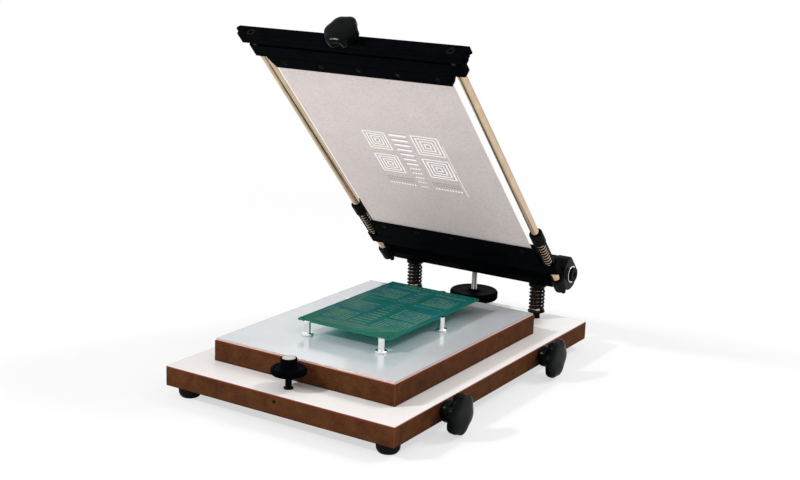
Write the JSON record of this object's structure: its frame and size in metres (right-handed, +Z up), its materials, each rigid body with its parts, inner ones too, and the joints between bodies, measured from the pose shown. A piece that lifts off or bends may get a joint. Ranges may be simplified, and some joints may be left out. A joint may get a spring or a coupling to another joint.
{
  "type": "tabletop stencil printing press",
  "caption": "Tabletop press for printing solder paste through a framed metal stencil, hinged at the back over a sliding table with magnetic pins.",
  "frame": {"origin": "Middle of the whole press's footprint box with its frame raised, on the plane that the rubber feet stand on", "axes": "+Z up, +X to the right as the operator stands, -Y to the operator, so the hinge is at +Y"},
  "size_m": [0.2608, 0.365, 0.3394],
  "materials": {
    "fibreboard": "raw sawn edges",
    "laminate": "smooth white laminate",
    "rubber": "matte black",
    "zinc_steel": "zinc plated",
    "plate_steel": "fine ground",
    "black_steel": "blackened",
    "spring_steel": "blackened drawn wire",
    "chromed_steel": "polished",
    "black_aluminium": "black anodised, satin",
    "black_plastic": "glossy black",
    "pale_plastic": "satin",
    "brass": "turned",
    "foil_steel": "thin rolled foil",
    "circuit_laminate": "green solder mask"
  },
  "bodies": {
    "base": {"base_board": "fibreboard", "base_laminate": "laminate", "rubber_feet": "rubber", "foot_screws": "zinc_steel", "side_bushes": "zinc_steel", "locking_screw": "black_steel", "left_post": "chromed_steel", "right_post": "chromed_steel", "post_feet": "black_steel", "spring_washers": "black_steel", "left_post_spring": "spring_steel", "right_post_spring": "spring_steel", "screw_seat": "brass", "stop_bush": "black_steel"},
    "table": {"table_board": "fibreboard", "table_plate": "plate_steel", "guide_blocks": "brass", "block_screws": "zinc_steel"},
    "front_side_screw": {"side_screw_front": "zinc_steel", "side_knob_front": "black_plastic"},
    "rear_side_screw": {"side_screw_rear": "zinc_steel", "side_knob_rear": "black_plastic"},
    "stop": {"stop_stem": "black_steel", "stop_pad": "pale_plastic"},
    "stop_hand_wheel": {"stop_wheel": "black_aluminium"},
    "beam": {"hinge_beam": "black_aluminium", "post_bushes": "black_plastic", "pivot_screws": "black_steel", "pivot_rings": "chromed_steel", "friction_washers": "black_steel"},
    "height_drive": {"height_screw": "zinc_steel", "height_wheel": "black_aluminium"},
    "frame": {"left_hub": "black_plastic", "right_hub": "black_plastic", "left_rod": "chromed_steel", "right_rod": "chromed_steel", "outer_bar": "black_aluminium", "rod_screws": "black_steel", "left_collar": "black_steel", "right_collar": "black_steel", "collar_screws": "black_steel", "left_rod_spring": "spring_steel", "right_rod_spring": "spring_steel"},
    "tension_drive": {"tension_screw": "zinc_steel", "tension_knob": "black_plastic"},
    "carriage": {"front_rail": "black_aluminium", "front_jaw": "black_aluminium", "front_clamp_screws": "black_steel", "rear_rail": "black_aluminium", "rear_jaw": "black_aluminium", "rear_clamp_screws": "black_steel", "stencil": "foil_steel"},
    "work": {"support_pins": "chromed_steel", "circuit_board": "circuit_laminate"}
  },
  "joints": [
    {"name": "height_turn", "type": "hinge", "parent": "base", "child": "height_drive", "pos_m": [-0.0104, 0.1575, 0.0285], "axis": [0, 0, -1], "range_deg": [-1, 1801]},
    {"name": "beam_lift", "type": "slide", "parent": "base", "child": "beam", "axis": [0, 0, 1], "range_m": [0, 0.005], "deforming": ["left_post_spring", "right_post_spring"]},
    {"name": "frame_tilt", "type": "hinge", "parent": "beam", "child": "frame", "pos_m": [-0.0104, 0.1575, 0.081], "axis": [-1, 0, 0], "range_deg": [-46.2, 48.8]},
    {"name": "tension_turn", "type": "hinge", "parent": "frame", "child": "tension_drive", "pos_m": [-0.0104, -0.0893, 0.31886], "axis": [0, -0.6921, 0.7218], "range_deg": [-577, 577]},
    {"name": "stencil_tension", "type": "slide", "parent": "frame", "child": "carriage", "axis": [0, -0.6921, 0.7218], "range_m": [-0.002, 0.002], "deforming": ["left_rod_spring", "right_rod_spring"]},
    {"name": "front_side_turn", "type": "hinge", "parent": "base", "child": "front_side_screw", "pos_m": [0.1096, -0.1055, 0.0205], "axis": [1, 0, 0], "range_deg": [-2305, 2305]},
    {"name": "rear_side_turn", "type": "hinge", "parent": "base", "child": "rear_side_screw", "pos_m": [0.1096, 0.0755, 0.0205], "axis": [1, 0, 0], "range_deg": [-2305, 2305]},
    {"name": "table_shift", "type": "slide", "parent": "base", "child": "table", "axis": [1, 0, 0], "range_m": [-0.008, 0.008]},
    {"name": "stop_lift", "type": "slide", "parent": "base", "child": "stop", "axis": [0, 0, 1], "range_m": [-0.003, 0.0038]},
    {"name": "stop_turn", "type": "hinge", "parent": "stop", "child": "stop_hand_wheel", "pos_m": [-0.0104, -0.1625, 0.0425], "axis": [0, 0, 1], "range_deg": [-1081, 1369]},
    {"name": "work_shift", "type": "slide", "parent": "table", "child": "work", "axis": [1, 0, 0], "range_m": [-0.03, 0.03]}
  ],
  "couplings": [
    {"joint": "height_turn", "follows": "beam_lift", "rad_per_m": 6283.2},
    {"joint": "tension_turn", "follows": "stencil_tension", "rad_per_m": -5026.5},
    {"joint": "front_side_turn", "follows": "table_shift", "rad_per_m": -5026.5},
    {"joint": "rear_side_turn", "follows": "table_shift", "rad_per_m": -5026.5},
    {"joint": "stop_turn", "follows": "stop_lift", "rad_per_m": 6283.2}
  ]
}
